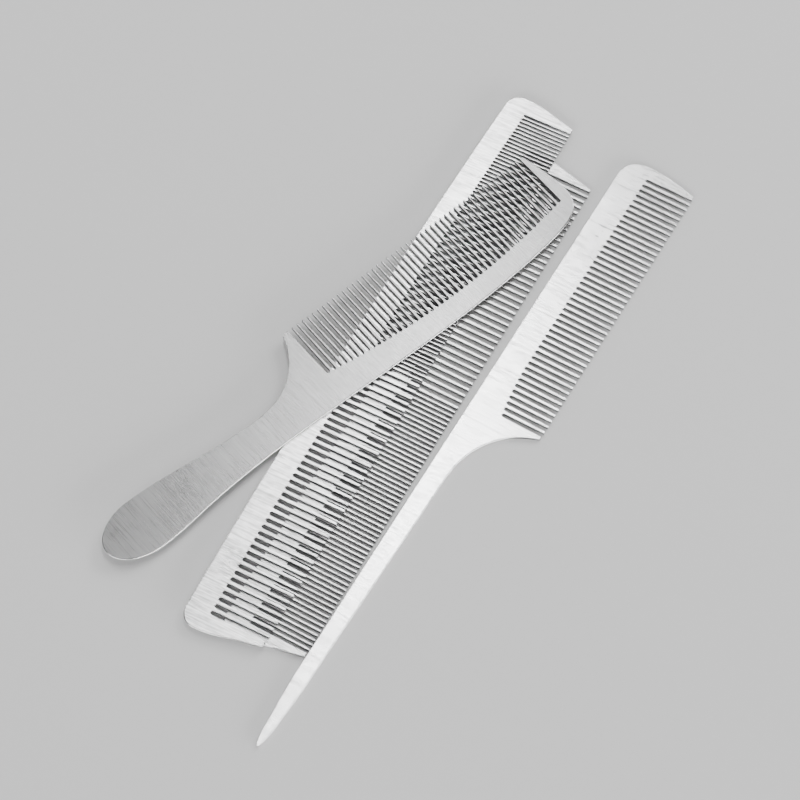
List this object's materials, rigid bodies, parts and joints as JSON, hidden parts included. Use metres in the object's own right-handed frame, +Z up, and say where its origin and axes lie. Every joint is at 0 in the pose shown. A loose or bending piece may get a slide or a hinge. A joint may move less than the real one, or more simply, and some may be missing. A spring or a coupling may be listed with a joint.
{
  "type": "barber comb set",
  "caption": "Set of flat one-piece steel barber combs: straight coarse-and-fine combs and a handle comb stacked, with a pointed tail comb beside them.",
  "frame": {"origin": "on the surface the set lies on, under the middle of its outline", "axes": "+Z up, +Y along the lower straight comb towards its coarse end, +X towards its tooth tips"},
  "size_m": [0.0996, 0.2302, 0.0031],
  "materials": {
    "lower_comb_steel": "brushed across the comb, polished at the edges",
    "upper_comb_steel": "brushed across the comb, polished at the edges",
    "handle_comb_steel": "brushed across the comb, polished at the edges",
    "tail_comb_steel": "brushed across the comb, polished at the edges"
  },
  "bodies": {
    "lower_straight_comb": {"lower_straight_comb": "lower_comb_steel"},
    "upper_straight_comb": {"upper_straight_comb": "upper_comb_steel"},
    "handle_comb": {"handle_comb": "handle_comb_steel"},
    "tail_comb": {"tail_comb": "tail_comb_steel"}
  },
  "joints": [
    {"name": "upper_comb_lift", "type": "slide", "parent": "lower_straight_comb", "child": "upper_straight_comb", "axis": [0, 0, 1], "range_m": [0, 0.06]},
    {"name": "handle_comb_lift", "type": "slide", "parent": "upper_straight_comb", "child": "handle_comb", "axis": [0, 0, 1], "range_m": [0, 0.06]},
    {"name": "tail_comb_lift", "type": "slide", "parent": "lower_straight_comb", "child": "tail_comb", "axis": [0, 0, 1], "range_m": [0, 0.06]}
  ]
}
